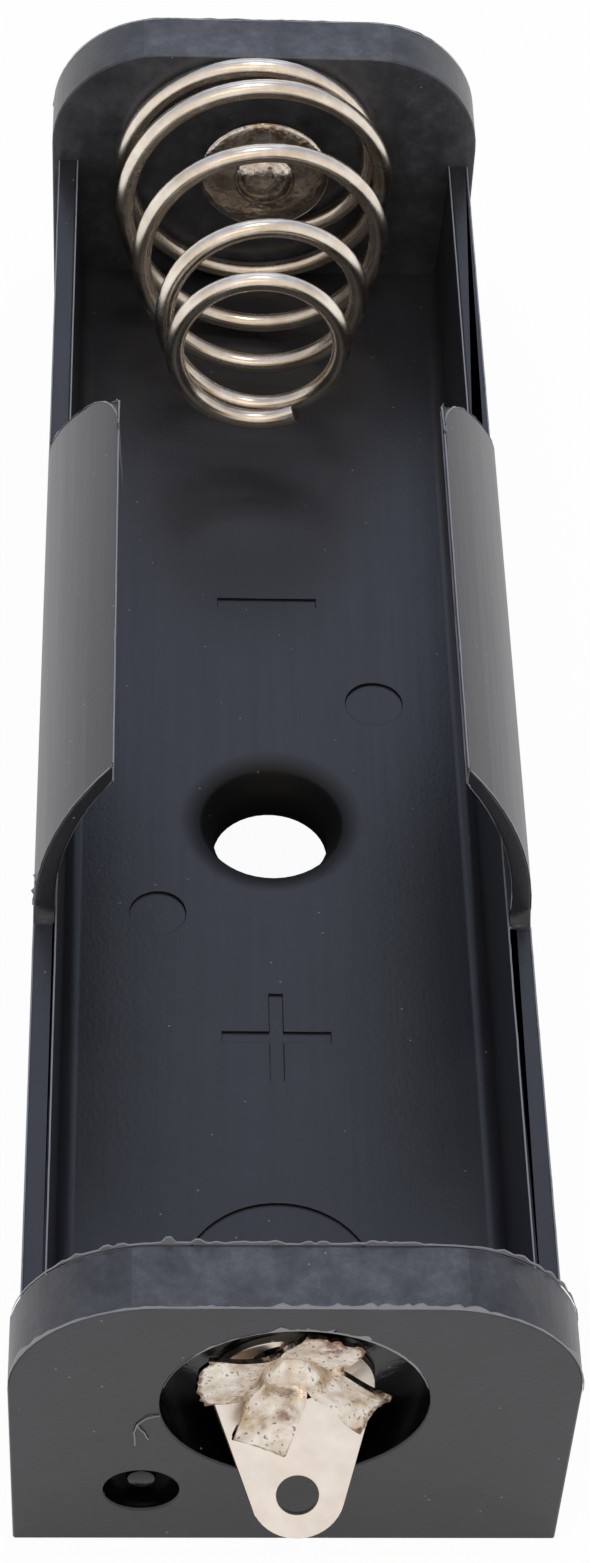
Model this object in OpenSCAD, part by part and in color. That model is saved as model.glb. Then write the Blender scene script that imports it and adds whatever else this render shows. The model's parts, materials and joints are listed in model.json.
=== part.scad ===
// Single cylindrical cell holder: a moulded open tray whose sides curl over into two spring
// clips, with a conical wire spring at one end and a domed contact at the other, each held by
// a hollow rivet whose split tube is folded back over a solder lug.
//
// Millimetres. Length runs along Y: the positive end is at -Y, the spring end is at +Y.
// X is across, Z is up. The origin is the middle of the flat underside.

/* [Cell bay] */

// Length over the outer faces of the two end walls
body_len = 58; // [54:0.5:64]
// Width over the end walls
body_w = 16.4; // [16:0.1:18]
// Height of the end walls
end_wall_h = 12.7; // [11.5:0.1:14]
// Thickness of the end wall at the positive end
near_wall_t = 2.1; // [1.9:0.1:3]
// Thickness of the end wall at the spring end
far_wall_t = 2.3; // [1.9:0.1:3]
// Corner radius at the top of the end walls
end_corner_r = 4.3; // [2:0.1:5]
// Thickness of the floor
floor_t = 2.1; // [1.8:0.1:2.2]
// Width over the side walls
side_w = 15.9; // [15.6:0.1:16]
// Thickness of a side wall at its top edge
side_t = 0.7; // [0.6:0.05:0.9]
// Height of the low side walls, where the clips start
side_h = 7.6; // [7:0.1:8.5]
// How much the inner side faces lean in by the foot
side_draft = 0.2; // [0:0.05:0.3]
// Radius between floor and side wall
foot_r = 0.55; // [0.3:0.05:0.8]

/* [Curled clips] */

// Radius of the curled outer surface
clip_r = 11.5; // [10.5:0.1:13]
// Angle that the curl goes through
clip_angle = 38.5; // [34:0.5:40]
// Thickness at the clip's free edge
clip_tip_t = 0.4; // [0.4:0.05:0.7]
// Square-cut end of the clips, as Y
clip_near_y = -10.95; // [-16:0.1:-8]
// Where the slanted end of the clips would meet the free edge, as Y
clip_far_y = 5.85; // [4:0.1:8]
// Slant of that end, from level
clip_slant = 61; // [50:1:80]
// Rounding of the free corner
clip_corner_r = 3; // [1:0.1:4]
// Rounding where the slanted end runs out into the low wall
clip_foot_r = 2; // [1:0.1:3]

/* [Holes and moulding marks] */

// Radius of the screw hole through the floor
screw_r = 2; // [1.6:0.05:2.2]
// Radius of its countersink at the top
sink_r = 2.45; // [2.3:0.05:3.2]
// Length of the straight bore under the countersink
screw_bore_len = 1; // [0.6:0.1:1.2]
// Position of the screw hole, as Y
screw_y = -2.2; // [-6:0.1:6]
// Radius of the round pocket in each end face
pocket_r = 3.87; // [3.5:0.01:4.2]
// Depth of that pocket
pocket_d = 1.4; // [1.2:0.1:1.4]
// Height of the contacts above the underside
contact_z = 7.7; // [7.2:0.1:8]
// Radius of the gate pocket in the positive end face
gate_r = 1.12; // [0.8:0.01:1.4]
// Depth of the gate pocket
gate_d = 0.8; // [0.4:0.1:1]
// Depth of the ejector marks and of the polarity signs in the floor
mark_d = 0.1; // [0.05:0.05:0.3]

/* [Solder lugs] */

// Thickness of the lug's sheet
lug_t = 0.25; // [0.2:0.01:0.3]
// Radius of the lug's head
lug_head_r = 2.4; // [2.2:0.05:3]
// How far the head's centre lies below the rivet
lug_head_drop = 0.85; // [0.5:0.05:0.9]
// Radius of the lug's rounded tail end
lug_tail_r = 1.4; // [1.2:0.05:1.6]
// Distance from the rivet to the wire hole, before bending
lug_reach = 4.6; // [4.2:0.1:5]
// How far the tail leans out of the end face
lug_bend = 34; // [34:1:40]
// Radius of the wire hole
wire_hole_r = 0.63; // [0.5:0.01:0.8]

/* [Rivets] */

// Outside radius of the rivet's tube
tube_r = 1.1; // [1:0.05:1.2]
// Thickness of the rivet's metal
rivet_t = 0.22; // [0.18:0.01:0.25]
// Radius of the low domed head inside the bay
head_r = 2.5; // [2.2:0.1:2.8]
// Thickness of that head at its middle
head_t = 0.45; // [0.3:0.05:0.5]
// Thickness of the head at its rim
head_rim_t = 0.15; // [0.1:0.05:0.25]
// Radius of the contact dome on the head
dome_r = 1.15; // [1:0.05:1.4]
// Height of the contact dome
dome_h = 0.45; // [0.4:0.05:0.6]
// Width of each folded petal
petal_w = 1.6; // [1.2:0.1:1.7]
// Length of each folded petal, beyond the tube's flare
petal_len = 1.6; // [1.2:0.1:1.8]

/* [Spring] */

// Diameter of the spring wire
wire_d = 0.72; // [0.6:0.02:0.8]
// Centre-line radius of the large coil
coil_big_r = 5; // [4.5:0.05:5]
// Centre-line radius of the small coil
coil_small_r = 3.08; // [3.05:0.01:3.5]
// Free length from the end wall to the small coil's outer side
spring_len = 11.1; // [9:0.1:12]
// How far the lowest point of each free coil leans towards the cell
coil_lean = 0.4; // [0:0.05:0.6]

/* [Hidden] */

// facets of a full circle, for viewing; the solids are exact
$fn = 64;
// a hair of overlap or cut-through
eps = 0.05;
big = 40;

half_len = body_len / 2;
half_side = side_w / 2;
inner_top_x = half_side - side_t;
inner_foot_x = inner_top_x - side_draft;

// clips: outer arc starts upright on the wall; the inner arc is set so that the clip thins
// from the wall's thickness to clip_tip_t
clip_cx = half_side - clip_r;
clip_tip_x = clip_cx + clip_r * cos(clip_angle);
clip_top_z = side_h + clip_r * sin(clip_angle);
inner_shift_x = 0.1;
tip_in_x = (clip_r - clip_tip_t) * cos(clip_angle) - inner_shift_x;
tip_in_z = (clip_r - clip_tip_t) * sin(clip_angle);
foot_in_x = clip_r - side_t - inner_shift_x;
inner_shift_z = (tip_in_x * tip_in_x + tip_in_z * tip_in_z - foot_in_x * foot_in_x) / (2 * tip_in_z);
inner_clip_r = sqrt(foot_in_x * foot_in_x + inner_shift_z * inner_shift_z);
corner_run = clip_corner_r * tan(clip_slant / 2);
foot_run = clip_foot_r * tan(clip_slant / 2);
clip_foot_y = clip_far_y + (clip_top_z - side_h) / tan(clip_slant);
step_r = 0.45;

// screw hole
dish_r = sink_r + 0.75;
dish_d = 0.15;

// moulding marks: [x, y, radius]
ejector_marks = [[3.76, 3.34, 1.02], [-3.94, -6.37, 0.95], [-0.1, -21.3, 3.1]];
sign_y = [-11.6, 8.3];
sign_len = 3.6;
sign_line = 0.45;
gate_pos = [-4.36, 2.85];
gate_stub_r = 0.45;
gate_stub_h = 0.45;

// lug, in the end face's own frame: x across, y up from the rivet, z out of the face
lug_skew = 0.22;
lug_bend_y = -1.2;
lug_rivet_hole_r = 1.35;
lug_waist_y = lug_bend_y - 0.25;
lug_tail = [lug_skew, -lug_reach];

// rivet: the flare's underside sits on the lug
lug_front = -pocket_d + lug_t;
flare_in = rivet_t;
flare_out = 2 * rivet_t;
flare_c = [tube_r + flare_in, lug_front - flare_in];
seat_gap = 0.03;
dome_ball_r = (dome_r * dome_r + dome_h * dome_h) / (2 * dome_h);
head_rise = head_t - head_rim_t;
head_ball_r = (head_r * head_r + head_rise * head_rise) / (2 * head_rise);
// petals: [direction from +x, lift off the lug]
petals = [[176, 3], [243, 44], [345, 26], [60, 8]];

// spring: turns are counted from the top of the large coil; the wire starts in a small eye
// under the rivet's head, opens out against the wall and winds forward to the small coil
wall_y = half_len - far_wall_t;
wire_r = wire_d / 2;
base_y = wall_y - wire_r - 0.01;
tip_y = wall_y - spring_len + wire_r;
eye_r = 1.62;
coil_shift = [-0.4, -0.2];
turn_start = -1.75;
turn_end = 4.58;
// turns at which the even pitch starts and ends, the closed last turn's share of that pitch,
// and how gently the wire bends from one to the other
pitch_from = 0.6;
pitch_to = 3.65;
last_share = 0.19;
bend_turns = 0.2;
cone_from = 1;
cone_to = 4.1;
turn_steps = 32;
wire_sides = 12;

// ---------- frames ----------

// a profile drawn in x and z, run along Y
module along_y(y0, y1) {
  translate([0, y1, 0]) rotate([90, 0, 0])
    linear_extrude(height = y1 - y0) children();
}

// a profile drawn in y and z, run along X
module along_x(x0, x1) {
  translate([x0, 0, 0]) rotate([90, 0, 90])
    linear_extrude(height = x1 - x0) children();
}

// children drawn on an end face: x across, y up from the contact, z out of the face
module on_near_end() {
  translate([0, -half_len, contact_z]) rotate([90, 0, 0]) children();
}

module on_far_end() {
  translate([0, half_len, contact_z]) rotate([90, 0, 180]) children();
}

// ---------- moulded body ----------

module tray_profile() {
  fx = inner_foot_x - foot_r;
  fz = floor_t + foot_r;
  difference() {
    translate([-half_side, 0]) square([side_w, side_h]);
    union() {
      polygon([[-inner_top_x, side_h + eps], [inner_top_x, side_h + eps], [inner_foot_x, fz],
               [fx, floor_t], [-fx, floor_t], [-inner_foot_x, fz]]);
      for (s = [-1, 1]) translate([s * fx, fz]) circle(r = foot_r);
    }
  }
}

module end_wall_profile() {
  shoulder = body_w / 2 - end_corner_r;
  translate([-body_w / 2, 0]) square([body_w, end_wall_h - end_corner_r]);
  translate([-shoulder, 0]) square([2 * shoulder, end_wall_h]);
  for (s = [-1, 1]) translate([s * shoulder, end_wall_h - end_corner_r]) circle(r = end_corner_r);
}

// the right-hand clip, cut across: its free edge is upright, as the mould opens upwards
module clip_profile() {
  intersection() {
    difference() {
      translate([clip_cx, side_h]) circle(r = clip_r);
      translate([clip_cx + inner_shift_x, side_h + inner_shift_z]) circle(r = inner_clip_r);
    }
    translate([clip_tip_x, side_h - eps]) square([clip_r, clip_r]);
  }
}

// the clips from the side: a square near end, a slanted and rounded far end
module clip_side() {
  z0 = side_h - eps;
  slant = [cos(clip_slant), sin(clip_slant)];
  difference() {
    union() {
      polygon([[clip_near_y - step_r, z0], [clip_near_y - step_r, side_h],
               [clip_near_y, side_h + step_r], [clip_near_y, clip_top_z],
               [clip_far_y - corner_run, clip_top_z],
               [clip_far_y + corner_run * slant[0], clip_top_z - corner_run * slant[1]],
               [clip_foot_y - foot_run * slant[0], side_h + foot_run * slant[1]],
               [clip_foot_y + foot_run, side_h], [clip_foot_y + foot_run, z0]]);
      translate([clip_far_y - corner_run, clip_top_z - clip_corner_r]) circle(r = clip_corner_r);
    }
    translate([clip_near_y - step_r, side_h + step_r]) circle(r = step_r);
    translate([clip_foot_y + foot_run, side_h + clip_foot_r]) circle(r = clip_foot_r);
  }
}

module clip() {
  intersection() {
    along_y(clip_near_y - 2, clip_foot_y + 4) clip_profile();
    along_x(0, body_w) clip_side();
  }
}

module screw_hole() {
  sink_d = floor_t - dish_d - screw_bore_len;
  translate([0, screw_y, 0]) {
    translate([0, 0, -1]) cylinder(r = screw_r, h = floor_t + 2);
    translate([0, 0, screw_bore_len]) cylinder(r1 = screw_r, r2 = sink_r, h = sink_d);
    translate([0, 0, floor_t - dish_d]) cylinder(r1 = sink_r, r2 = dish_r, h = dish_d);
  }
}

module floor_marks() {
  for (m = ejector_marks)
    translate([m[0], m[1], floor_t - mark_d]) cylinder(r = m[2], h = 1);
  for (y = sign_y)
    translate([-sign_len / 2, y - sign_line / 2, floor_t - mark_d]) cube([sign_len, sign_line, 1]);
  translate([-sign_line / 2, sign_y[0] - sign_len / 2, floor_t - mark_d])
    cube([sign_line, sign_len, 1]);
}

module end_pocket(wall_t) {
  translate([0, 0, -pocket_d]) cylinder(r = pocket_r, h = pocket_d + 1);
  translate([0, 0, -wall_t - 1]) cylinder(r = tube_r, h = wall_t + 1);
}

module holder_body() color("#2e3036") {
  difference() {
    union() {
      along_y(-half_len + eps, half_len - eps) tray_profile();
      along_y(-half_len, -half_len + near_wall_t) end_wall_profile();
      along_y(half_len - far_wall_t, half_len) end_wall_profile();
      clip();
      mirror([1, 0, 0]) clip();
    }
    screw_hole();
    floor_marks();
    on_near_end() {
      end_pocket(near_wall_t);
      difference() {
        translate([gate_pos[0], gate_pos[1] - contact_z, -gate_d])
          cylinder(r = gate_r, h = gate_d + 1);
        translate([gate_pos[0], gate_pos[1] - contact_z, -gate_d - eps])
          cylinder(r = gate_stub_r, h = gate_stub_h + eps);
      }
    }
    on_far_end() end_pocket(far_wall_t);
  }
}

// ---------- solder lugs ----------

// the point where a line from p touches the tail's round end, on the right (1) or left (-1)
function on_tail(p, side) =
  let (v = p - lug_tail, t = atan2(v[1], v[0]) - side * acos(lug_tail_r / norm(v)))
  lug_tail + lug_tail_r * [cos(t), sin(t)];

// the round head, upright sides past the bend, and straight sides down to the round tail end
module lug_outline() {
  head = [0, -lug_head_drop];
  right = [lug_head_r, lug_waist_y];
  left = [-lug_head_r, lug_waist_y];
  translate(head) circle(r = lug_head_r);
  translate(lug_tail) circle(r = lug_tail_r);
  polygon([head + [lug_head_r, 0], right, on_tail(right, 1), on_tail(left, -1), left,
           head - [lug_head_r, 0]]);
}

module lug() {
  translate([0, 0, -pocket_d]) linear_extrude(height = lug_t) difference() {
    intersection() {
      lug_outline();
      translate([-big / 2, lug_bend_y]) square([big, big]);
    }
    circle(r = lug_rivet_hole_r);
  }
  translate([0, lug_bend_y, -pocket_d]) rotate([-lug_bend, 0, 0]) translate([0, -lug_bend_y, 0])
    linear_extrude(height = lug_t) difference() {
      intersection() {
        lug_outline();
        translate([-big / 2, lug_bend_y - big]) square([big, big]);
      }
      circle(r = lug_rivet_hole_r + lug_t);
      translate(lug_tail) circle(r = wire_hole_r);
    }
}

module positive_lug() color("#d9d3c8") on_near_end() lug();

module negative_lug() color("#d9d3c8") on_far_end() lug();

// ---------- rivets ----------

// half section, x is the radius: low domed head with a hollow contact dome, tube and flare
module rivet_section(grip) {
  head_z = -grip - head_t;
  hollow_r = tube_r - rivet_t;
  difference() {
    union() {
      intersection() {
        translate([0, head_z + head_ball_r]) circle(r = head_ball_r, $fn = 4 * $fn);
        translate([0, head_z - eps]) square([head_r, head_t + eps]);
      }
      translate([0, head_z]) square([tube_r, flare_c[1] - head_z]);
      intersection() {
        translate([0, head_z - dome_h + dome_ball_r]) circle(r = dome_ball_r);
        translate([0, head_z - dome_h]) square([dome_r, dome_h + head_rise]);
      }
      intersection() {
        translate(flare_c) circle(r = flare_out);
        translate([0, flare_c[1] - eps]) square([flare_c[0], flare_out + 2 * eps]);
      }
    }
    translate([-1, head_z]) square([1 + hollow_r, grip]);
    intersection() {
      translate([0, head_z - dome_h + dome_ball_r]) circle(r = dome_ball_r - rivet_t);
      translate([-1, head_z - dome_h]) square([1 + hollow_r, dome_h + eps]);
    }
    translate([-1, flare_c[1] + eps]) square([1 + hollow_r, flare_out]);
    translate(flare_c) circle(r = flare_in);
    translate([-1, head_z - dome_h]) square([1, grip + dome_h]);
  }
}

module petal(direction, lift) {
  tip_r = petal_w * 0.35;
  length = petal_len + flare_in;
  rotate([0, 0, direction]) translate([tube_r, 0, lug_front]) rotate([0, -lift, 0])
    linear_extrude(height = rivet_t) {
      translate([flare_in * 0.6, -petal_w / 2]) square([length - tip_r - flare_in * 0.6, petal_w]);
      translate([0, tip_r - petal_w / 2]) square([length, petal_w - 2 * tip_r]);
      for (s = [-1, 1]) translate([length - tip_r, s * (petal_w / 2 - tip_r)]) circle(r = tip_r);
    }
}

module rivet(grip) {
  rotate_extrude() rivet_section(grip);
  difference() {
    for (p = petals) petal(p[0], p[1]);
    translate([0, 0, -grip]) cylinder(r = flare_c[0] - eps, h = 2 * grip);
  }
}

module positive_rivet() color("#cfc4b4") on_near_end() rivet(near_wall_t);

module negative_rivet() color("#cfc4b4") on_far_end() rivet(far_wall_t + wire_d + seat_gap);

// ---------- spring ----------

function ease(t) = t <= 0 ? 0 : t >= 1 ? 1 : t * t * (3 - 2 * t);
function mix(a, b, t) = a + (b - a) * t;
// how far the wire has left the eye, from 0 to 1, a quarter turn before the large coil's top
function opened(k) = ease((k + 0.75) / 0.7);
function coil_r(k) =
  k < cone_from ? mix(eye_r, coil_big_r, opened(k))
                : mix(coil_big_r, coil_small_r, ease((k - cone_from) / (cone_to - cone_from)));
// a straight climb that starts at turn a, with its corner rounded
function climb(k, a) =
  k <= a - bend_turns ? 0 : k >= a + bend_turns ? k - a : pow(k - a + bend_turns, 2) / (4 * bend_turns);
function travel(k) = climb(k, pitch_from) - (1 - last_share) * climb(k, pitch_to);
function coil_y(k) = mix(base_y, tip_y, travel(k) / travel(turn_end));
function coil_point(k) =
  let (a = 90 + 360 * k, r = coil_r(k), shift = coil_shift * opened(k))
  let (lean = coil_lean * ease((k - 0.5) / 0.8) * (1 - sin(a)) / 2)
  [shift[0] + r * cos(a), coil_y(k) - lean, contact_z + shift[1] + r * sin(a)];
function unit(v) = v / norm(v);

module coil_wire() {
  n = round((turn_end - turn_start) * turn_steps);
  ring = [for (i = [0 : n])
    let (k = turn_start + (turn_end - turn_start) * i / n,
         dk = 1 / turn_steps / 4,
         c = coil_point(k),
         along = unit(coil_point(k + dk) - coil_point(k - dk)),
         out = unit(cross([0, 1, 0], along)),
         up = cross(along, out))
    [for (j = [0 : wire_sides - 1])
      c + wire_r * (cos(360 * j / wire_sides) * out + sin(360 * j / wire_sides) * up)]];
  points = [for (r = ring) each r];
  sides = [for (i = [0 : n - 1]) for (j = [0 : wire_sides - 1])
    let (j2 = (j + 1) % wire_sides)
    [i * wire_sides + j, i * wire_sides + j2, (i + 1) * wire_sides + j2, (i + 1) * wire_sides + j]];
  caps = [[for (j = [wire_sides - 1 : -1 : 0]) j], [for (j = [0 : wire_sides - 1]) n * wire_sides + j]];
  polyhedron(points = points, faces = concat(sides, caps), convexity = 10);
}

module negative_spring() color("#c9c2b8") coil_wire();

// ---------- choice of node ----------

holder_body();
positive_lug();
positive_rivet();
negative_spring();
negative_rivet();
negative_lug();
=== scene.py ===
# %% [markdown]
# # A holder for one cylindrical cell
#
# The real object is a black moulded tray with two curled side clips, a conical wire spring at
# one end and a domed contact at the other. A hollow rivet holds each contact: its tube goes
# through the end wall and a solder lug, and is split and folded back in four petals. This
# lesson dresses the finished CAD model: it keeps every size and place, and gives the pieces
# their soft edges, torn metal, moulding marks and finishes.

# %% Load the CAD model as the frame
import json
import math

import bmesh
import bpy
from mathutils import Matrix, Vector, noise


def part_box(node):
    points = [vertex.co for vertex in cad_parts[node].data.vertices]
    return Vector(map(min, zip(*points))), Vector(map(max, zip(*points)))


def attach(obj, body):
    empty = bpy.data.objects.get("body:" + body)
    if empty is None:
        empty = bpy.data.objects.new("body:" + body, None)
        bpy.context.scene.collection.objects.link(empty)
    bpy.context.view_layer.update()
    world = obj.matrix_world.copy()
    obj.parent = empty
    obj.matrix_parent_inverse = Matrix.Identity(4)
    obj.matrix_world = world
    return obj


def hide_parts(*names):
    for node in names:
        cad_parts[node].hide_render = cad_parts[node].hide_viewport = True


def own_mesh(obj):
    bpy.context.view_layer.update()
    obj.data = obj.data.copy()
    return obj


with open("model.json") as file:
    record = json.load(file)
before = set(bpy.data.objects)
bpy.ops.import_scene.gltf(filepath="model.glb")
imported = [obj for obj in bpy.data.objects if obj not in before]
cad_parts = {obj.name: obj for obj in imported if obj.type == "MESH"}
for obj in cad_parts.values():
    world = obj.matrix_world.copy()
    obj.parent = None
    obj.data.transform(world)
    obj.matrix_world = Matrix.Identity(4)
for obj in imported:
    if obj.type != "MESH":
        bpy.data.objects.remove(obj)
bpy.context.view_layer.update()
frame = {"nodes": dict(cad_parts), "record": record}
MM = 0.001
print("nodes:", ", ".join(frame["nodes"]))

# %% [markdown]
# ## Sizes from the frame
#
# The boxes of the CAD nodes and the mounts of the record say where the end faces, the contacts
# and the screw hole are. The few heights and thicknesses that no box gives are named here once,
# with the CAD model's own values, and everything else hangs on them.

# %% Named places, in metres
mounts = {m["name"]: m for m in frame["record"]["mounts"]}
body_low, body_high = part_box("holder_body")

HALF_LENGTH = body_high[1]
CONTACT_Z = mounts["positive_contact"]["pos_m"][2]
SCREW = Vector(mounts["screw_hole"]["pos_m"])
FLOOR_Z = 2.1 * MM
SIDE_Z = 7.6 * MM
END_WALL_Z = 12.7 * MM
NEAR_WALL = 2.1 * MM
FAR_WALL = 2.3 * MM
RECESS_DEPTH = 1.4 * MM
LUG_SHEET = 0.25 * MM
WIRE_R = 0.36 * MM
print("tray", [round((h - l) / MM, 2) for l, h in zip(body_low, body_high)], "mm")

# %% [markdown]
# ## Small helpers
#
# A finished piece is one mesh object at the origin, because the CAD nodes are made that way.
# `finish` turns a bmesh into such an object, smooths its round faces, hangs it under the body
# that carries it, and hides the CAD node it stands for.

# %% From bmesh to a finished piece
def finish(name, bm, material, stands_for, body="holder", smooth_angle=35, even_faces=False):
    bmesh.ops.recalc_face_normals(bm, faces=bm.faces)
    mesh = bpy.data.meshes.new(name)
    bm.to_mesh(mesh)
    bm.free()
    piece = bpy.data.objects.new(name, mesh)
    bpy.context.scene.collection.objects.link(piece)
    mesh.materials.append(material)
    mesh.shade_smooth()
    mesh.set_sharp_from_angle(angle=math.radians(smooth_angle))
    if even_faces:
        even = piece.modifiers.new("flat_faces_stay_flat", "WEIGHTED_NORMAL")
        even.keep_sharp = True
    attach(piece, body)
    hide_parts(stands_for)
    print(f"{name}: {len(mesh.polygons)} faces")
    return piece


def merged_copy(node):
    """The CAD node's loose triangles, joined up and with flat areas made one face each."""
    bm = bmesh.new()
    bm.from_mesh(frame["nodes"][node].data)
    bmesh.ops.remove_doubles(bm, verts=bm.verts, dist=0.0002 * MM)
    bmesh.ops.dissolve_limit(bm, angle_limit=math.radians(0.6), verts=bm.verts, edges=bm.edges)
    print(f"{node}: {len(frame['nodes'][node].data.polygons)} triangles, {len(bm.faces)} faces")
    return bm


# %% [markdown]
# Two shapes come up again and again: a round thing that follows a path, such as the wire, and
# an edge that is rounded over. The first carries a ring of edges along the path and extrudes it
# at each step. The second is a bevel, but only on edges that stand out, since a hollow corner
# shows no line of light.

# %% Sweeps and rounded edges
def sweep(points, radius, sides):
    """Carries a ring of edges along the points, none of them running along Y, and extrudes it."""
    frames = []
    for i, point in enumerate(points):
        forward = (points[min(i + 1, len(points) - 1)] - points[max(i - 1, 0)]).normalized()
        across = Vector((0, 1, 0)).cross(forward).normalized()
        turned = Matrix((across, forward.cross(across), forward)).transposed().to_4x4()
        frames.append(Matrix.Translation(point) @ turned)
    bm = bmesh.new()
    bmesh.ops.create_circle(bm, segments=sides, radius=radius, matrix=frames[0])
    ring = bm.edges[:]
    for before, after in zip(frames, frames[1:]):
        grown = bmesh.ops.extrude_edge_only(bm, edges=ring)["geom"]
        ring = [g for g in grown if isinstance(g, bmesh.types.BMEdge)]
        bmesh.ops.transform(bm, matrix=after @ before.inverted(),
                            verts=[g for g in grown if isinstance(g, bmesh.types.BMVert)])
    bmesh.ops.holes_fill(bm, edges=[e for e in bm.edges if e.is_boundary], sides=0)
    return bm


def sharp_edges(bm, degrees=30, where=lambda middle: True):
    """Edges that stand out by more than `degrees`; a hollow edge has a negative angle."""
    limit = math.radians(degrees)
    found = []
    for edge in bm.edges:
        if len(edge.link_faces) == 2 and edge.calc_face_angle_signed(0) > limit:
            if where((edge.verts[0].co + edge.verts[1].co) / 2):
                found.append(edge)
    return found


def round_over(bm, edges, radius, segments=2):
    bmesh.ops.bevel(bm, geom=edges, offset=radius, segments=segments, profile=0.5,
                    affect="EDGES", material=-1)
    print(f"rounded over by {radius / MM:.2f} mm, now {len(bm.faces)} faces")


# %% Blends and even noise
def mix(a, b, t):
    return a + (b - a) * t


def smooth(t):
    t = min(max(t, 0.0), 1.0)
    return t * t * (3 - 2 * t)


def wander(*place):
    """Noise between -1 and 1 that is the same each run."""
    return noise.noise(Vector(place))


print("half way between 2 and 4 mm:", mix(2, 4, smooth(0.5)))

# %% [markdown]
# ## How materials are written
#
# Colours are given as the hex values a painter would pick, and one function turns them into
# the linear light that the renderer works in. A second one adds a shader node with its
# settings and its links, so that each material below reads as a short recipe.

# %% Colour and node helpers
def linear(hex_colour):
    values = [int(hex_colour[i:i + 2], 16) / 255 for i in (1, 3, 5)]
    return [v / 12.92 if v <= 0.04045 else ((v + 0.055) / 1.055) ** 2.4 for v in values] + [1.0]


def new_material(name):
    material = bpy.data.materials.new(name)
    material.use_nodes = True
    material.node_tree.nodes.clear()
    return material


def add(owner, kind, inputs=None, stops=(), **settings):
    """Adds a node. An input is a value, a hex colour, an output, or a node that stands for its
    first live output. The stops are the places and colours of a colour ramp."""
    node = owner.node_tree.nodes.new("ShaderNode" + kind)
    for key, value in settings.items():
        setattr(node, key, value)
    for key, value in (inputs or {}).items():
        if isinstance(value, bpy.types.Node):
            value = next(output for output in value.outputs if output.enabled)
        if isinstance(value, bpy.types.NodeSocket):
            owner.node_tree.links.new(value, node.inputs[key])
        else:
            node.inputs[key].default_value = linear(value) if isinstance(value, str) else value
    for i, (place, colour) in enumerate(stops):
        element = node.color_ramp.elements[i] if i < 2 else node.color_ramp.elements.new(1.0)
        element.position, element.color = place, linear(colour)
    return node


print("mid grey #808080 in linear light:", round(linear("#808080")[0], 3))

# %% [markdown]
# ## Black polypropylene
#
# The tray is injection-moulded polypropylene, coloured through with carbon black. The mould
# leaves a fine satin skin: hardly any colour of its own, and a wide, dull gloss that shows the
# pale room at flat angles. Faint lines run lengthwise, like polishing strokes in the mould, and
# light specks of dust stick to it everywhere.
#
# One finish all over would look like a model, so three masks say where the skin differs. A mask
# is a number from 0 to 1, worked out from the place on the tray and from where the face looks.
# The first mask paints the end walls' upward faces paler, more so with height: partly scuffs
# that hands and boxes rub pale, partly a painted sheen of the pale room on the tops and corner
# arcs. Half as strongly it lightens the inner side of the far wall, as painted light.

# %% Mask of the scuffed places and painted light
def scuff_and_painted_light_places(mat, at, facing, along_y):
    # the end walls' upward faces, paler with height: scuffs and a painted sheen
    below_top = add(mat, "MapRange", {"Value": at.outputs["Z"], "From Min": 8.2 * MM,
                                      "From Max": END_WALL_Z - 0.05 * MM, "To Max": 0.6})
    at_top = add(mat, "Math", {0: at.outputs["Z"], 1: END_WALL_Z - 0.08 * MM},
                 operation="GREATER_THAN")
    height = add(mat, "Math", {0: below_top, 1: at_top}, operation="MAXIMUM")
    upward = add(mat, "Math", {0: facing.outputs["Z"], 1: 0.15}, operation="GREATER_THAN")
    on_end_wall = add(mat, "Math", {0: along_y, 1: 26.5 * MM}, operation="GREATER_THAN")
    on_top = add(mat, "Math", {0: upward, 1: on_end_wall}, operation="MULTIPLY")
    scuff_and_painted_light = add(mat, "Math", {0: height, 1: on_top}, operation="MULTIPLY")
    # the far wall's inner side, half as strong: painted light
    to_cell = add(mat, "Math", {0: facing.outputs["Y"], 1: -0.9}, operation="LESS_THAN")
    at_far_end = add(mat, "Math", {0: at.outputs["Y"], 1: 20 * MM}, operation="GREATER_THAN")
    far_wall_painted_light = add(mat, "Math", {0: to_cell, 1: at_far_end}, operation="MULTIPLY")
    half_far_wall_painted_light = add(mat, "Math", {0: far_wall_painted_light, 1: 0.5}, operation="MULTIPLY")
    return add(mat, "Math", {0: scuff_and_painted_light, 1: half_far_wall_painted_light}, operation="MAXIMUM")


# %% [markdown]
# The second mask is for the round recess at each contact and the gate's pocket beside it. Their
# skin is shiny, as from a polished part of the mould, and their colour is painted near black:
# painted shade for the shade that falls inside these hollows. Seen square to the end face both
# are circles, so a distance in X and Z finds them.

# %% Mask of the polished places, with painted shade
RECESS_R = 3.95 * MM
GATE, GATE_R = Vector((-4.36, 0, 2.85)) * MM, 1.2 * MM


def polished_and_shaded_places(mat, place, along_y):
    # painted shade: the recesses and the gate's pocket, painted near black in the recipe below
    seen_flat = add(mat, "Mapping", {"Vector": place, "Scale": (1.0, 0.0, 1.0)})
    to_contact = add(mat, "VectorMath", {0: seen_flat, 1: (0, 0, CONTACT_Z)},
                     operation="DISTANCE")
    to_gate = add(mat, "VectorMath", {0: seen_flat, 1: GATE}, operation="DISTANCE")
    in_recess = add(mat, "Math", {0: to_contact, 1: RECESS_R}, operation="LESS_THAN")
    in_gate = add(mat, "Math", {0: to_gate, 1: GATE_R}, operation="LESS_THAN")
    in_either = add(mat, "Math", {0: in_recess, 1: in_gate}, operation="MAXIMUM")
    sunk = add(mat, "Math", {0: along_y, 1: HALF_LENGTH - RECESS_DEPTH / 2 - 0.07 * MM,
                             2: RECESS_DEPTH / 2 + 0.01 * MM}, operation="COMPARE")
    return add(mat, "Math", {0: in_either, 1: sunk}, operation="MULTIPLY")
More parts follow.
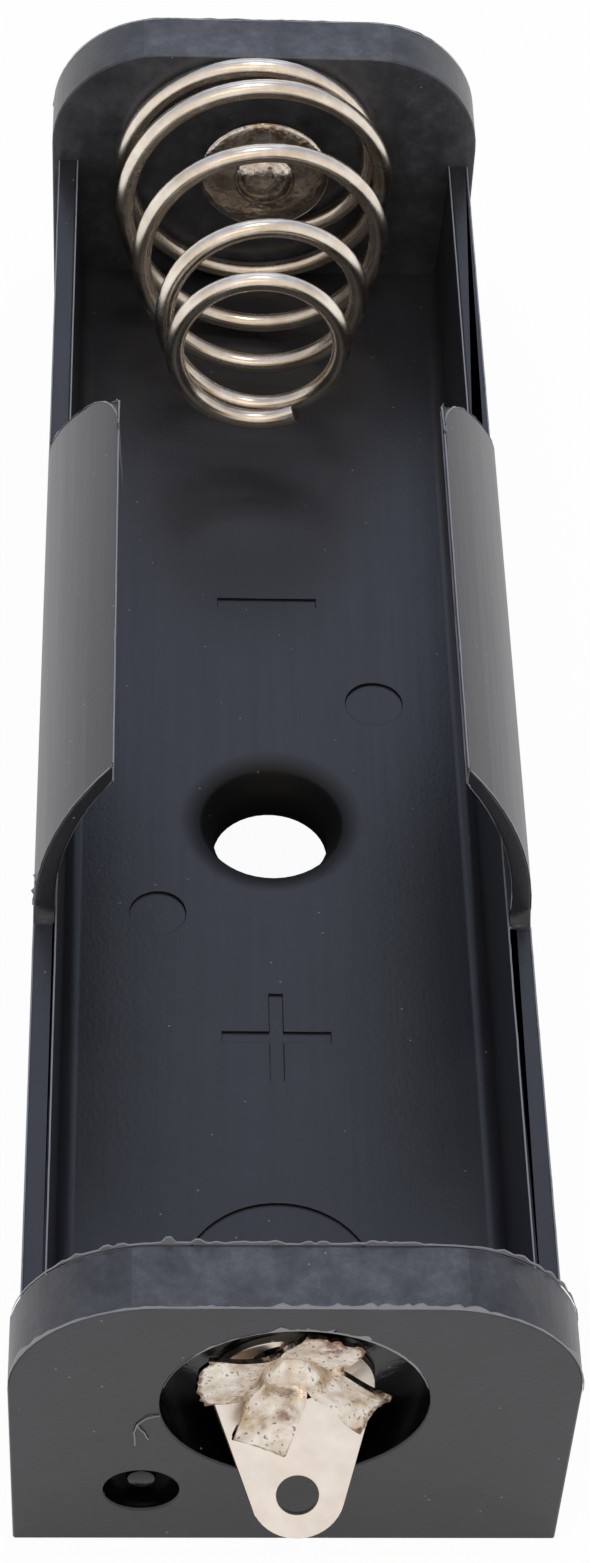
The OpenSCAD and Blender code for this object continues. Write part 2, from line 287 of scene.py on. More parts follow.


# %% [markdown]
# The third mask is for the screw hole's wall with a wide ring round its rim, and the steps round
# the sunk marks. Their skin is made dull, and their colour is painted near black as painted
# shade, because light hardly gets in. The steps are only 0.1 mm high, too low for their own
# shade to show from the camera, so the painted shade stands in for it.

# %% Mask of the dull places, with painted shade
def dull_and_shaded_places(mat, place, at, facing, along_y):
    # painted shade: a ring round the screw hole's rim and the marks' steps, painted near black below
    hole_middle = (SCREW.x, SCREW.y, FLOOR_Z - 1.1 * MM)
    to_screw = add(mat, "VectorMath", {0: place, 1: hole_middle}, operation="DISTANCE")
    in_hole = add(mat, "MapRange", {"Value": to_screw, "From Min": 2.75 * MM,
                                    "From Max": 3.4 * MM, "To Min": 1.0, "To Max": 0.0})
    below_floor = add(mat, "Math", {0: at.outputs["Z"], 1: FLOOR_Z - 0.08 * MM, 2: 0.065 * MM},
                      operation="COMPARE")
    in_bay = add(mat, "Math", {0: at.outputs["X"], 1: 0.0, 2: 6.0 * MM}, operation="COMPARE")
    between_walls = add(mat, "Math", {0: along_y, 1: 26.0 * MM}, operation="LESS_THAN")
    steep = add(mat, "Math", {0: facing.outputs["Z"], 1: 0.9}, operation="LESS_THAN")
    in_marks = below_floor
    for also in (in_bay, between_walls, steep):
        in_marks = add(mat, "Math", {0: in_marks, 1: also}, operation="MULTIPLY")
    return add(mat, "Math", {0: in_marks, 1: in_hole}, operation="MAXIMUM")


# %% [markdown]
# The recipe itself: a cloudy black, a paler cloud where the first mask paints scuffs and painted
# light, thin flash that turns pale, painted shade near black in the recesses and the screw hole,
# and specks of dust. The gloss follows the lengthwise lines, and two bumps add the skin's grain
# and those lines.

# %% Moulded black polypropylene
def moulded_black():
    mat = new_material("black_polypropylene_moulded")
    place = add(mat, "TexCoord").outputs["Object"]
    at = add(mat, "SeparateXYZ", {"Vector": place})
    facing = add(mat, "SeparateXYZ", {"Vector": add(mat, "TexCoord").outputs["Normal"]})
    along_y = add(mat, "Math", {0: at.outputs["Y"]}, operation="ABSOLUTE")
    scuff_and_painted_light = scuff_and_painted_light_places(mat, at, facing, along_y)
    polished_and_shaded = polished_and_shaded_places(mat, place, along_y)
    dull_and_shaded = dull_and_shaded_places(mat, place, at, facing, along_y)
    # painted shade: where either mask is set, the colour goes near black
    painted_shade = add(mat, "Math", {0: dull_and_shaded, 1: polished_and_shaded}, operation="MAXIMUM")

    cloud = add(mat, "TexNoise", {"Vector": place, "Scale": 1 / (1.4 * MM), "Detail": 8.0,
                                  "Roughness": 0.75})
    fresh = add(mat, "ValToRGB", {"Fac": cloud}, stops=[(0.3, "#212125"), (0.7, "#29292e")])
    # the paler cloud: scuffs and painted light where the first mask is set
    pale_scuff_and_painted_light = add(mat, "ValToRGB", {"Fac": cloud},
               stops=[(0.3, "#2a2b2f"), (0.5, "#45464b"), (0.7, "#606268")])
    colour = add(mat, "Mix", {"Factor": scuff_and_painted_light, "A": fresh, "B": pale_scuff_and_painted_light}, data_type="RGBA")
    thin = add(mat, "Attribute", attribute_name="flash").outputs["Fac"]
    pale = add(mat, "Mix", {"Factor": thin, "A": colour, "B": "#808086"}, data_type="RGBA")
    black = add(mat, "Mix", {"Factor": painted_shade, "A": pale, "B": "#070708"}, data_type="RGBA")
    dust_cells = add(mat, "TexVoronoi", {"Vector": place, "Scale": 1 / (0.85 * MM)})
    speck = add(mat, "Math", {0: dust_cells, 1: 0.04}, operation="LESS_THAN")
    dusty = add(mat, "Mix", {"Factor": speck, "A": black, "B": "#77777a"}, data_type="RGBA")

    along = add(mat, "Mapping", {"Vector": place, "Scale": (1.0, 0.02, 1.0)})
    strokes = add(mat, "TexNoise", {"Vector": along, "Scale": 1 / (0.22 * MM), "Detail": 4.0,
                                 "Roughness": 0.7})
    satin = add(mat, "MapRange", {"Value": strokes, "To Min": 0.26, "To Max": 0.42})
    glossy = add(mat, "Mix", {"Factor": polished_and_shaded, "A": satin, "B": 0.14})
    rough = add(mat, "Mix", {"Factor": dull_and_shaded, "A": glossy, "B": 0.65})
    grain = add(mat, "TexNoise", {"Vector": place, "Scale": 1 / (0.16 * MM), "Detail": 3.0})
    fine = add(mat, "Bump", {"Height": grain, "Distance": 0.012 * MM, "Strength": 0.6})
    lines = add(mat, "Bump", {"Height": strokes, "Normal": fine, "Distance": 0.006 * MM,
                              "Strength": 0.5})
    skin = add(mat, "BsdfPrincipled", {"Base Color": dusty, "IOR": 1.49, "Roughness": rough,
                                       "Normal": lines})
    add(mat, "OutputMaterial", {"Surface": skin})
    return mat


BLACK = moulded_black()
print(BLACK.name, "has", len(BLACK.node_tree.nodes), "nodes")

# %% [markdown]
# ## Nickel-plated spring wire and tinned sheet
#
# The spring's wire is plated, bright and a little warm. The lugs are stamped from tinned sheet,
# duller and nearly white. Both are a metal with one cloudy colour and a cloudy gloss, so one
# recipe serves for the two.

# %% Wire and sheet
def cloudy_metal(name, cloud_size, detail, stops, gloss):
    """`gloss` is the lowest and highest roughness."""
    mat = new_material(name)
    place = add(mat, "TexCoord").outputs["Object"]
    mottle = add(mat, "TexNoise", {"Vector": place, "Scale": 1 / cloud_size, "Detail": detail})
    colour = add(mat, "ValToRGB", {"Fac": mottle}, stops=stops)
    rough = add(mat, "MapRange", {"Value": mottle, "To Min": gloss[0], "To Max": gloss[1]})
    metal = add(mat, "BsdfPrincipled", {"Base Color": colour, "Metallic": 1.0,
                                        "Roughness": rough})
    add(mat, "OutputMaterial", {"Surface": metal})
    return mat


WIRE = cloudy_metal("nickel_plated_drawn_wire", 0.9 * MM, 4.0,
                    [(0.3, "#d9cbb8"), (0.7, "#f3eade")], (0.2, 0.32))
SHEET = cloudy_metal("tinned_sheet_stamped", 0.7 * MM, 5.0,
                     [(0.3, "#e2d7cb"), (0.7, "#f0e7dd")], (0.3, 0.45))
print("metals:", WIRE.name, "and", SHEET.name)

# %% [markdown]
# ## Tinned brass
#
# The rivets are brass with a coat of tin. Where the tube was split and folded, the coat is
# rubbed and brassy, brown along the torn rims, and full of dark specks. Two patches are stained
# by heat, and resin from soldering has dried in one corner. Each patch is a ball in space whose
# edge is broken up by noise, so it looks like a blot on whatever metal passes through it.

# %% Folded tinned brass
# each patch: its middle from the rivet's axis (x, y, z out of the face) and reach in mm, its
# colour, and how much of it the noise covers
PATCHES = [((-0.2, -1.5, -0.75), 0.5, "#8a6868", 0.4),
           ((1.1, 1.75, -0.95), 0.6, "#86625c", 0.38)]
RESIN = ((-1.5, -1.4, -0.72), 0.72, "#a8813c", 0.36)


def tinned_brass():
    mat = new_material("tinned_brass_folded")
    place = add(mat, "TexCoord").outputs["Object"]
    mottle = add(mat, "TexNoise", {"Vector": place, "Scale": 1 / (0.5 * MM), "Detail": 6.0})
    blots = add(mat, "TexNoise", {"Vector": place, "Scale": 1 / (0.22 * MM), "Detail": 4.0})
    specks = add(mat, "TexNoise", {"Vector": place, "Scale": 1 / (0.13 * MM), "Detail": 5.0})
    colour = add(mat, "ValToRGB", {"Fac": mottle},
                 stops=[(0.28, "#a78f74"), (0.42, "#cfc1b0"), (0.65, "#eae2d8")])

    rim = add(mat, "Attribute", attribute_name="rim").outputs["Fac"]
    torn = add(mat, "Math", {0: rim, 1: blots}, operation="MULTIPLY")
    brown = add(mat, "MapRange", {"Value": torn, "From Min": 0.25, "From Max": 0.5,
                                  "To Max": 0.9})
    colour = add(mat, "Mix", {"Factor": brown, "A": colour, "B": "#6e4f38"}, data_type="RGBA")
    speck = add(mat, "MapRange", {"Value": specks, "From Min": 0.61, "From Max": 0.66,
                                  "To Max": 0.7})
    colour = add(mat, "Mix", {"Factor": speck, "A": colour, "B": "#5a4334"}, data_type="RGBA")

    for (x, y, z), reach, stain, noise_from in PATCHES + [RESIN]:
        middle = (x * MM, -HALF_LENGTH - z * MM, CONTACT_Z + y * MM)
        near = add(mat, "VectorMath", {0: place, 1: middle}, operation="DISTANCE")
        inside = add(mat, "MapRange", {"Value": near, "From Min": reach * MM,
                                       "From Max": reach * 0.5 * MM})
        patchy = add(mat, "MapRange", {"Value": blots, "From Min": noise_from,
                                       "From Max": noise_from + 0.13, "To Max": 0.85})
        share = add(mat, "Math", {0: inside, 1: patchy}, operation="MULTIPLY")
        colour = add(mat, "Mix", {"Factor": share, "A": colour, "B": stain}, data_type="RGBA")

    # the last share is the resin's, which isn't metal
    metallic = add(mat, "Mix", {"Factor": share, "A": 1.0, "B": 0.2})
    rough = add(mat, "MapRange", {"Value": mottle, "To Min": 0.14, "To Max": 0.28})
    dents = add(mat, "Bump", {"Height": blots, "Distance": 0.05 * MM, "Strength": 0.6})
    metal = add(mat, "BsdfPrincipled", {"Base Color": colour, "Roughness": rough,
                                        "Metallic": metallic, "Normal": dents})
    add(mat, "OutputMaterial", {"Surface": metal})
    return mat


BRASS = tinned_brass()
print(BRASS.name, "has", len(BRASS.node_tree.nodes), "nodes")

# %% [markdown]
# ## The moulded tray
#
# The CAD solid already has the right shape, so a copy of it is merged and only its edges are
# worked on. No moulded edge is knife-sharp: a small radius catches a thin line of light. The
# shallow marks in the floor and the thin free edge of the clips get a smaller radius than the
# rest.

# %% Which edges are which
tray = merged_copy("holder_body")


def fine_edge(middle):
    """The edges of the floor's marks, and the thin free edge of the clips."""
    clip_rim = middle.z > 13.5 * MM
    shallow = FLOOR_Z - 0.12 * MM < middle.z < FLOOR_Z + 0.01 * MM
    away_from_walls = abs(middle.x) < 6 * MM and abs(middle.y) < 26 * MM
    return clip_rim or shallow and away_from_walls and (middle - SCREW).xy.length > 4 * MM


def near_wall_rim(middle):
    return middle.z > 8.6 * MM and middle.y < -26.6 * MM


def far_wall_rim(middle):
    """Only the outer edge: the spring's wide turn lies against the inner one."""
    return middle.z > 8.6 * MM and middle.y > 28.9 * MM


def side_wall_top(middle):
    return abs(middle.z - SIDE_Z) < 0.01 * MM and abs(middle.y) < 26.6 * MM


def clip_edges(middle):
    return middle.z > 8.2 * MM and abs(middle.y) < 26 * MM


for pick in (fine_edge, near_wall_rim, far_wall_rim, side_wall_top, clip_edges):
    print(f"{pick.__name__} picks {len(sharp_edges(tray, where=pick))} edges")

# %% [markdown]
# Flash is the paper-thin plastic that creeps between the halves of a mould and tears when the
# part comes out. A fin is extruded from each outstanding edge, its height broken up by noise,
# and given a thickness. A hair clings to the near end face, swept along a few points.
# Both are joined to the tray and marked in an attribute, so that the material can show them
# pale.

# %% Flash and hair
FIN = 0.05 * MM
HAIR_R = 0.022 * MM


def pale_mesh(bm):
    """A mesh to join to the tray, marked as thin and pale for the material."""
    layer = bm.verts.layers.float.new("flash")
    for vert in bm.verts:
        vert[layer] = 1.0
    bmesh.ops.recalc_face_normals(bm, faces=bm.faces)
    mesh = bpy.data.meshes.new("flash")
    bm.to_mesh(mesh)
    bm.free()
    return mesh


def flash(bm, where, height, seed):
    """A ragged fin on every outstanding edge that `where` picks."""
    fin = bmesh.new()
    for edge in sharp_edges(bm, degrees=20, where=where):
        a, b = (v.co for v in edge.verts)
        pieces = max(1, round((b - a).length / (0.14 * MM)))
        row = [fin.verts.new(a.lerp(b, i / pieces)) for i in range(pieces + 1)]
        for pair in zip(row, row[1:]):
            fin.edges.new(pair)
    bmesh.ops.remove_doubles(fin, verts=fin.verts, dist=0.01 * MM)
    grown = bmesh.ops.extrude_edge_only(fin, edges=fin.edges[:])["geom"]
    for vert in [g for g in grown if isinstance(g, bmesh.types.BMVert)]:
        p = vert.co / MM
        patches = smooth(0.45 + 1.8 * wander(0.6 * p.x, 0.6 * p.y, seed))
        ragged = 0.2 + 1.9 * abs(wander(2.3 * p.x, 2.3 * p.y, seed + 9)) ** 1.3
        up = Vector((0.25 * wander(2 * p.x, p.y, seed), 0.25 * wander(p.x, 2 * p.y, seed + 3), 1))
        vert.co += up * height * (0.15 + 0.85 * patches) * ragged
    bmesh.ops.recalc_face_normals(fin, faces=fin.faces)
    bmesh.ops.solidify(fin, geom=fin.faces[:], thickness=FIN)
    print(f"flash on {where.__name__}: {len(fin.faces)} faces")
    return pale_mesh(fin)


def hair(places):
    """A fibre on the near end face; places are (x, up from the floor) in mm."""
    points = []
    for (x, z), (next_x, next_z) in zip(places, places[1:]):
        for i in range(8):
            t = i / 8
            points.append(Vector((mix(x, next_x, t) + 0.05 * wander(2.1 * z + t, x, 3),
                                  -HALF_LENGTH / MM - 0.05 - 0.04 * wander(x + t, z, 5),
                                  mix(z, next_z, t) + 0.05 * wander(x, 2.3 * z + t, 8))) * MM)
    return pale_mesh(sweep(points, HAIR_R, sides=6))


# %% Tray
tray.verts.layers.float.new("flash")
thin_bits = [flash(tray, near_wall_rim, 0.36 * MM, seed=1),
             flash(tray, far_wall_rim, 0.05 * MM, seed=4),
             flash(tray, side_wall_top, 0.07 * MM, seed=2),
             flash(tray, clip_edges, 0.12 * MM, seed=6),
             hair([(-3.85, 7.1), (-4.2, 7.05), (-4.5, 6.65), (-4.6, 6.2), (-4.55, 5.4)]),
             hair([(-4.5, 6.6), (-4.3, 6.2), (-4.15, 5.75)])]
round_over(tray, sharp_edges(tray, where=fine_edge), 0.03 * MM)
round_over(tray, sharp_edges(tray, where=lambda middle: not fine_edge(middle)), 0.08 * MM)
bmesh.ops.recalc_face_normals(tray, faces=tray.faces)
for bit in thin_bits:
    tray.from_mesh(bit)
    bpy.data.meshes.remove(bit)
finish("tray", tray, BLACK, "holder_body", even_faces=True)

# %% [markdown]
# ## Solder lugs
#
# Both lugs are flat stampings with a bent tail, and the CAD solids are right. The bend is as
# round as the sheet is thick, and stamping rolls the outline over a little. The rivet's hole
# is left out: the petals cover it, and its edges are so close that their roundings would meet.

# %% Lugs
COVERED_R = 1.6 * MM


def outside_rivet(middle):
    return math.hypot(middle.x, middle.z - CONTACT_Z) > COVERED_R


for end in ("positive", "negative"):
    lug = merged_copy(f"{end}_lug")
    bend = [e for e in sharp_edges(lug) if abs(e.verts[0].co.x - e.verts[1].co.x) > 1.2 * MM]
    round_over(lug, bend, LUG_SHEET, segments=5)
    round_over(lug, sharp_edges(lug, degrees=50, where=outside_rivet), 0.03 * MM)
    finish(f"{end}_tag", lug, SHEET, f"{end}_lug", even_faces=True)

# %% [markdown]
# ## Rivets
#
# The rivet is drawn from sheet: a low domed head with a contact dome, and a tube. The tube's
# mouth is split in four and folded out over the lug in petals with torn, curled ends. Here a
# pointed punch is taken to have split it, which leaves the metal in a blunt cone. A spun
# profile gives the head and tube. Each petal starts as a flat grid, whose points are sent up
# the cone, round the fold and out over the lug.
#
# Rivets are easier to describe seen from outside the end wall: x to the right, y up from the
# rivet's axis, z out of the face. One function turns such a point into the holder's own
# directions, for the near end or for the far end.

# %% From an end face to the holder
def end_point(x, y, z, far):
    side = -1 if far else 1
    return Vector((side * x, -side * (HALF_LENGTH + z), CONTACT_Z + y))


print("near rivet's axis meets the end face at", [round(v / MM, 2) for v in end_point(0, 0, 0, False)])

# %% [markdown]
# The half section of the head and tube is a line of points, from the top of the contact dome
# over the flange's rounded rim, along the tube to where it is split, and back inside the dome.
# A full spin of that line makes the piece.

# %% Head and tube, spun from a half section
TUBE_R, BORE_R = 1.09, 0.89
SPLIT_END = -1.9


def head_and_tube(bm, wall, far):
    """In mm: points are (radius, height out of the end face); the head is `wall` further in."""
    outside, inside = [], []
    for i in range(9):
        turn = math.radians(90 * i / 8)
        bulge = math.cos(turn) ** 1.3
        outside.append((1.13 * math.sin(turn), -wall - 0.41 - 0.47 * bulge))
        inside.append((0.9 * math.sin(turn), -wall - 0.2 - 0.45 * bulge))
    flange = [(r, -wall - thickness) for r, thickness in
              ((1.2, 0.385), (1.6, 0.33), (2.1, 0.24), (2.38, 0.175), (2.47, 0.13), (2.5, 0.07),
               (2.47, 0.02), (2.4, 0.0))]
    mouth = [(TUBE_R, -wall), (TUBE_R, SPLIT_END), (BORE_R, SPLIT_END)]
    verts = [bm.verts.new(end_point(r * MM, 0, z * MM, far))
             for r, z in outside + flange + mouth + inside[::-1]]
    edges = [bm.edges.new(pair) for pair in zip(verts, verts[1:])]
    bmesh.ops.spin(bm, geom=verts + edges, cent=end_point(0, 0, 0, far), axis=(0, 1, 0),
                   angle=2 * math.pi, steps=64, use_merge=True)
    bmesh.ops.remove_doubles(bm, verts=bm.verts, dist=0.002 * MM)
    print("half section of head and tube:", len(edges), "edges, spun in 64 steps")


# %% [markdown]
# A petal is a strip of the tube, bent. From the side it is a curved line, and a list of
# (distance along the strip, angle from the wall) says how it bends: 90 degrees runs along the
# rivet's axis, 0 lies flat on the lug. Walking that line in small steps gives each point's
# place, and noise, twist and cupping make each petal its own.

# %% The petal's line, seen from the side
METAL = 0.17 * MM
CONE_TIP = (0.12, -1.95)  # its radius, and its height out of the end face, in mm
STEPS_ALONG = 90


def strip_line(profile):
    """Points (radius, height from the cone's tip) and headings, a little past the strip's end."""
    def heading_at(run):
        for (a, angle_a), (b, angle_b) in zip(profile, profile[1:]):
            if run <= b:
                return math.radians(mix(angle_a, angle_b, smooth((run - a) / (b - a))))
        return math.radians(profile[-1][1])

    line, at, total = [], Vector((CONE_TIP[0], 0)), profile[-1][0]
    for i in range(STEPS_ALONG + 12):
        heading = heading_at(total * i / STEPS_ALONG)
        line.append((at.copy(), heading))
        at += Vector((math.cos(heading), math.sin(heading))) * total / STEPS_ALONG
    return line


upright = strip_line([(0, 90), (2, 90)])[STEPS_ALONG][0]
print("an upright 2 mm strip ends at radius", round(upright.x, 2), "height", round(upright.y, 2))


# %% One petal
def petal(bm, far, root, direction, profile, width, twist, ragged, seed, cup=0, skew=0,
          round_end=0):
    """In mm and degrees. `root` is the stretch of tube that the strip was cut from."""
    rim = bm.verts.layers.float.get("rim") or bm.verts.layers.float.new("rim")
    strip = bmesh.ops.create_grid(bm, x_segments=40, y_segments=14, size=1)["verts"]
    out = Vector((math.cos(math.radians(direction)), math.sin(math.radians(direction)), 0))
    side = Vector((-out.y, out.x, 0))
    up = Vector((0, 0, 1))
    line, total = strip_line(profile), profile[-1][0]
    for vert in strip:
        # u runs from 0 at the cone to 1 at the torn end, v from -1 to 1 across the strip
        u, v = (vert.co.x + 1) / 2, vert.co.y
        edge_wave = ragged * (wander(4 * v, seed, 1.7) + 0.6 * wander(11 * v, seed, 5.1))
        outer = smooth((u - 0.5) / 0.5)
        run = u * total + (edge_wave + skew * v - round_end * v * v) * outer
        place = run / total * STEPS_ALONG
        index = min(int(place), len(line) - 2)
        (a, heading_a), (b, heading_b) = line[index], line[index + 1]
        centre, heading = a.lerp(b, place - index), mix(heading_a, heading_b, place - index)
        # near the cone the strip follows the round tube, further out it is flat
        angle = math.radians((root[0] + root[1]) / 2 + (root[1] - root[0]) / 2 * 1.05 * v)
        curved = Vector((math.cos(angle), math.sin(angle), 0)) * centre.x
        across = v * (width / 2 + ragged * 0.5 * wander(5 * u, 3.3 * v, seed) * outer)
        turn = math.radians(twist) * outer
        normal = up * math.cos(heading) - out * math.sin(heading)
        flat = out * centre.x + side * math.cos(turn) * across
        flat += normal * (math.sin(turn) * across
                          + (cup * v * v + 0.03 * wander(5 * u, 3 * v, seed)) * outer)
        opened = smooth((run - 1.0) / 0.9)
        spot = curved.lerp(flat, opened) + up * (CONE_TIP[1] + centre.y)
        vert.co = end_point(*(spot * MM), far)
        vert[rim] = max(smooth((u - 0.9) / 0.1), smooth((abs(v) - 0.8) / 0.2) * outer)
    thicken_from_outside(bm, strip, far)


def thicken_from_outside(bm, strip, far):
    """The side seen from outside the wall stays, and the metal's thickness goes behind it."""
    own = set(strip)
    faces = [f for f in bm.faces if f.verts[0] in own]
    bmesh.ops.recalc_face_normals(bm, faces=faces)
    outward = end_point(0, 0, 1, far) - end_point(0, 0, 0, far)
    if sum(f.normal.dot(outward) * f.calc_area() for f in faces) < 0:
        bmesh.ops.reverse_faces(bm, faces=faces)
    bmesh.ops.solidify(bm, geom=faces, thickness=METAL)


# %% [markdown]
# The four petals, in the order left, bottom, right and top. The left one lies flat and has a
# rounded end. The bottom one is lifted and its end is turned down. The right one is lifted
# less, cupped and twisted. The top one lies flat, and its end dips.

# %% Both rivets
PETALS = [
    dict(root=(118, 209.5), direction=177, width=2.0, twist=7, ragged=0.13, round_end=0.3,
         cup=-0.05, seed=1, profile=[(0, 52), (1.0, 44), (1.25, 70), (1.4, 60), (1.65, 12),
                                     (2.9, 2), (3.3, 14)]),
    dict(root=(209.5, 294), direction=246, width=1.7, twist=5, cup=0.05, ragged=0.07, seed=2,
         profile=[(0, 52), (1.0, 40), (1.2, 74), (1.4, 70), (1.65, 36), (2.85, 30), (3.0, 38),
                  (3.25, -70)]),
    dict(root=(294, 382.5), direction=344, width=1.65, twist=-10, cup=0.28, skew=0.16,
         ragged=0.09, seed=3, profile=[(0, 52), (1.0, 44), (1.2, 68), (1.35, 60), (1.6, 26),
                                       (3.05, 14)]),
    dict(root=(22.5, 118), direction=60, width=2.0, twist=4, cup=0.08, skew=-0.05, ragged=0.12,
         seed=4, profile=[(0, 45), (0.95, 50), (1.15, 85), (1.45, 6), (2.35, 0), (2.65, -20)]),
]


def rivet(name, node, wall, far):
    folds = bmesh.new()
    for shape in PETALS:
        petal(folds, far, **shape)
    head_and_tube(folds, wall / MM, far)
    return finish(name, folds, BRASS, node, smooth_angle=50)


# the far rivet's head stands off by the spring's eye, which it holds, and a hair of room
EYE_ROOM = 2 * WIRE_R + 0.03 * MM
rivet("positive_eyelet", "positive_rivet", NEAR_WALL, far=False)
rivet("negative_eyelet", "negative_rivet", FAR_WALL + EYE_ROOM, far=True)

# %% [markdown]
# ## The conical spring
#
# A coil machine winds the wire from a small eye under the rivet, out to a wide turn that lies
# on the wall, and forward in a narrowing cone to a closed small turn. In Blender a ring of
# edges is carried along that path and extruded at each step, which keeps the wire round and
# leaves real cut ends. The path repeats the CAD's rule: radius, climb and lean by turn.

# %% Path of the wire, in mm and turns
FIRST_TURN, LAST_TURN = -1.75, 4.58
BIG_R, SMALL_R, EYE_R = 5.0, 3.08, 1.62
FREE_LENGTH = 11.1
WALL_Y = (HALF_LENGTH - FAR_WALL) / MM
TIP_Y = WALL_Y - FREE_LENGTH + WIRE_R / MM
# the open coils sit a little beside and below the eye, and lean forward at their lowest point
ASIDE, BELOW, LEAN = -0.4, -0.2, 0.4


def climb(turn, start, width=0.2):
    """0 before the start, then as many turns as have passed, with a soft change between."""
    if turn <= start - width:
        return 0
    return turn - start if turn >= start + width else (turn - start + width) ** 2 / (4 * width)


def travel(turn):
    """How far forward the wire has come: the small end closes, so it climbs far less there."""
    return climb(turn, 0.6) - (1 - 0.19) * climb(turn, 3.65)


def coil_point(turn):
    opened = smooth((turn + 0.75) / 0.7)
    narrowing = mix(BIG_R, SMALL_R, smooth((turn - 1) / 3.1))
    radius = mix(EYE_R, BIG_R, opened) if turn < 1 else narrowing
    angle = math.radians(90 + 360 * turn)
    lean = LEAN * smooth((turn - 0.5) / 0.8) * (1 - math.sin(angle)) / 2
    forward = mix(WALL_Y - 0.37, TIP_Y, travel(turn) / travel(LAST_TURN))
    return Vector((ASIDE * opened + radius * math.cos(angle), forward - lean,
                   CONTACT_Z / MM + BELOW * opened + radius * math.sin(angle))) * MM


print("wire starts", [round(v / MM, 1) for v in coil_point(FIRST_TURN)],
      "and ends", [round(v / MM, 1) for v in coil_point(LAST_TURN)], "mm")

# %% [markdown]
# When a cell goes in, the small turn moves towards the wall and the cone flattens. The spring
# is given a mesh of its own, apart from the CAD node's.

# %% Wire
STEPS = 405
turns = [mix(FIRST_TURN, LAST_TURN, i / STEPS) for i in range(STEPS + 1)]
wire = sweep([coil_point(turn) for turn in turns], WIRE_R, sides=18)
spring = finish("contact_spring", wire, WIRE, "negative_spring", body="spring")
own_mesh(spring)

# %% [markdown]
# ## Camera
#
# The view is from in front of the positive end and above it, turned a few degrees, with the
# holder upright. It is close, so the far end looks clearly narrower.

# %% Camera
def add_camera(place_mm, turn, tilt, roll, lens):
    data = bpy.data.cameras.new("camera")
    data.sensor_width = 36
    data.lens = lens
    data.clip_start = 0.005
    camera = bpy.data.objects.new("camera", data)
    aim = (Matrix.Rotation(-math.radians(turn), 4, "Z")
           @ Matrix.Rotation(math.pi / 2 - math.radians(tilt), 4, "X")
           @ Matrix.Rotation(math.radians(roll), 4, "Z"))
    camera.matrix_world = Matrix.Translation(Vector(place_mm) * MM) @ aim
    bpy.context.scene.collection.objects.link(camera)
    bpy.context.scene.camera = camera
    print("camera at", [round(v, 1) for v in place_mm], "mm")


add_camera((-4.783, -83.009, 96.477), turn=3.902, tilt=48.736, roll=3.536, lens=82.47)

# %% [markdown]
# ## Table
#
# The holder stands on a plain white table. The table stays near white in the render through
# its colour and a glow that only the camera and reflections see, so the lamps can stay at a
# level where black plastic still looks black. Under the holder the paper is painted dark grey, a
# painted shadow, and the glow stops there. Beside the holder the glow that reflections see is
# dimmed and fades in over 9 mm: painted shade, standing in for the shade a real table has next
# to a dark thing that stands on it.

# %% Table
HALF_WIDTH = 8.1 * MM


def white_table():
    mat = new_material("white_table")
    at = add(mat, "SeparateXYZ", {"Vector": add(mat, "TexCoord").outputs["Object"]})
    x = add(mat, "Math", {0: at.outputs["X"]}, operation="ABSOLUTE")
    y = add(mat, "Math", {0: at.outputs["Y"]}, operation="ABSOLUTE")
    from_side = add(mat, "Math", {0: x, 1: HALF_WIDTH}, operation="SUBTRACT")
    from_end = add(mat, "Math", {0: y, 1: HALF_LENGTH - 0.1 * MM}, operation="SUBTRACT")
    clear = add(mat, "Math", {0: from_side, 1: from_end}, operation="MAXIMUM")
    uncovered = add(mat, "Math", {0: clear, 1: 0.0}, operation="GREATER_THAN")
    # the glow that reflections see, dimmed beside the holder: painted shade
    beside = add(mat, "MapRange", {"Value": clear, "From Max": 9 * MM, "To Min": 0.35,
                                   "To Max": 0.78})
    rays = add(mat, "LightPath")
    camera = add(mat, "Math", {0: rays.outputs["Is Camera Ray"], 1: 0.96}, operation="MULTIPLY")
    reflected = add(mat, "Math", {0: rays.outputs["Is Glossy Ray"], 1: beside},
                    operation="MULTIPLY")
    glossy = add(mat, "Math", {0: reflected, 1: uncovered}, operation="MULTIPLY")
    share = add(mat, "Math", {0: camera, 1: glossy}, operation="MAXIMUM")
    # painted shadow: the paper is dark grey under the holder
    paper_with_painted_shadow = add(mat, "Mix", {"Factor": uncovered, "A": "#303030", "B": "#f8f8f8"},
                data_type="RGBA")
    paper = add(mat, "BsdfPrincipled", {"Base Color": paper_with_painted_shadow, "Roughness": 0.8})
    glow = add(mat, "Emission", {"Color": "#ffffff", "Strength": 1.0})
    both = add(mat, "MixShader", {"Fac": share, 1: paper, 2: glow})
    add(mat, "OutputMaterial", {"Surface": both})
    return mat


top = bmesh.new()
bmesh.ops.create_grid(top, x_segments=1, y_segments=1, size=1.5)
mesh = bpy.data.meshes.new("table")
top.to_mesh(mesh)
top.free()
mesh.materials.append(white_table())
table = bpy.data.objects.new("table", mesh)
bpy.context.scene.collection.objects.link(table)
print("table, 3 m square, under", mesh.materials[0].name)

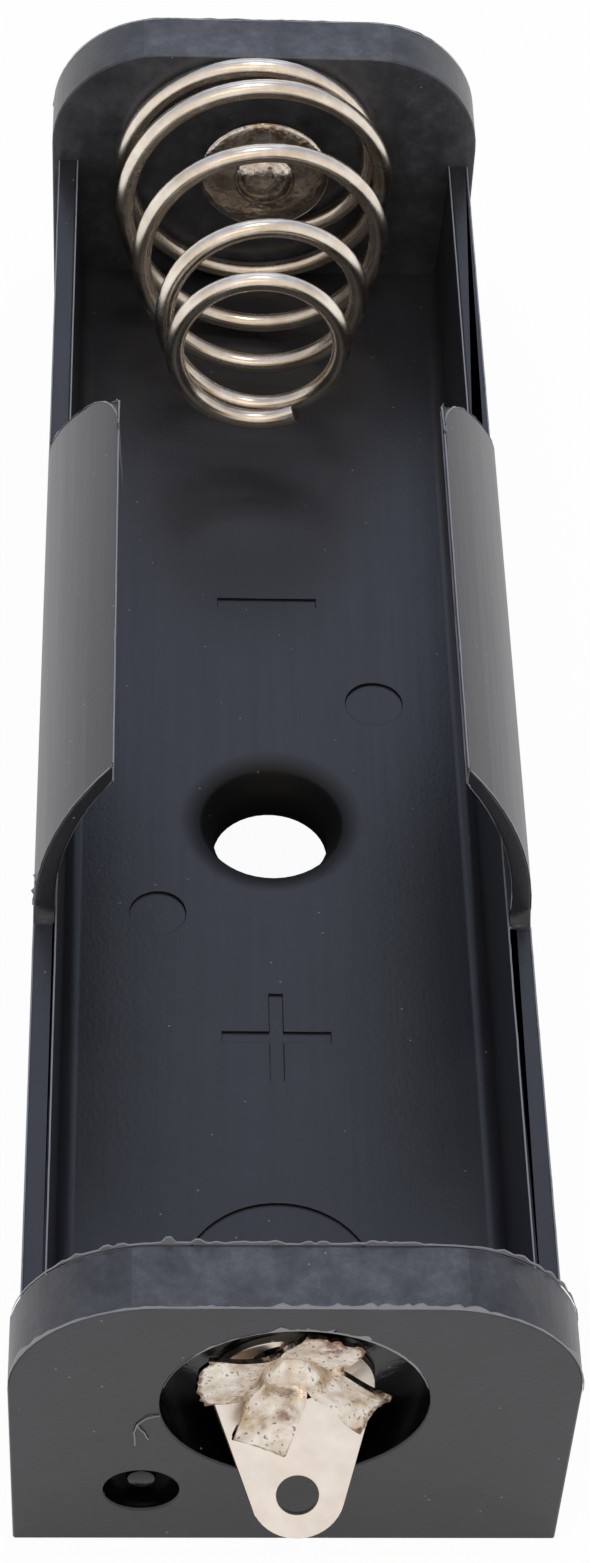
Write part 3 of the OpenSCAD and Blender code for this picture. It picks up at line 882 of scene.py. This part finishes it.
# %% [markdown]
# ## Light
#
# Two large soft lamps stand behind and in front, a little cool and a little warm, and a small
# one overhead gives metal its hard glints. The room fades from warm in front to cool behind,
# and to white near the horizon, which the plastic's satin skin mirrors at flat angles.

# %% Lamps
AIM = Vector((0, 0, 8)) * MM


def add_lamp(name, place_mm, size_mm, radiance, colour):
    data = bpy.data.lights.new(name, "AREA")
    data.shape = "RECTANGLE"
    data.size, data.size_y = (s * MM for s in size_mm)
    data.energy = radiance * math.pi * data.size * data.size_y
    data.color = linear(colour)[:3]
    lamp = bpy.data.objects.new(name, data)
    lamp.location = Vector(place_mm) * MM
    lamp.rotation_euler = (AIM - lamp.location).to_track_quat("-Z", "Y").to_euler()
    bpy.context.scene.collection.objects.link(lamp)
    print(f"lamp {name}: {data.energy:.3f} W")


add_lamp("back", (0, 330, 380), (300, 200), 0.9, "#dfe8ff")
add_lamp("front", (-60, -300, 420), (260, 160), 0.8, "#fff3e4")
add_lamp("spark", (10, 30, 450), (45, 45), 34, "#fffaf2")


# %% Room
def light_room():
    world = bpy.data.worlds.new("room")
    bpy.context.scene.world = world
    world.use_nodes = True
    world.node_tree.nodes.clear()
    toward = add(world, "SeparateXYZ", {"Vector": add(world, "TexCoord").outputs["Generated"]})
    front = add(world, "MapRange", {"Value": toward.outputs["Y"], "From Min": 0.4,
                                    "From Max": -0.4})
    upper = add(world, "Mix", {"Factor": front, "A": "#b3c1dc", "B": "#efe6dc"},
                data_type="RGBA")
    height = add(world, "MapRange", {"Value": toward.outputs["Z"], "From Min": 0.15,
                                     "From Max": 0.5})
    sky = add(world, "Mix", {"Factor": height, "A": "#ffffff", "B": upper}, data_type="RGBA")
    room = add(world, "Background", {"Color": sky, "Strength": 1.0})
    white = add(world, "Background", {"Color": "#ffffff", "Strength": 1.0})
    rays = add(world, "LightPath")
    seen = add(world, "MixShader", {"Fac": rays.outputs["Is Camera Ray"], 1: room, 2: white})
    add(world, "OutputWorld", {"Surface": seen})


light_room()
bpy.context.scene.view_settings.view_transform = "Standard"
print("world:", bpy.context.scene.world.name)
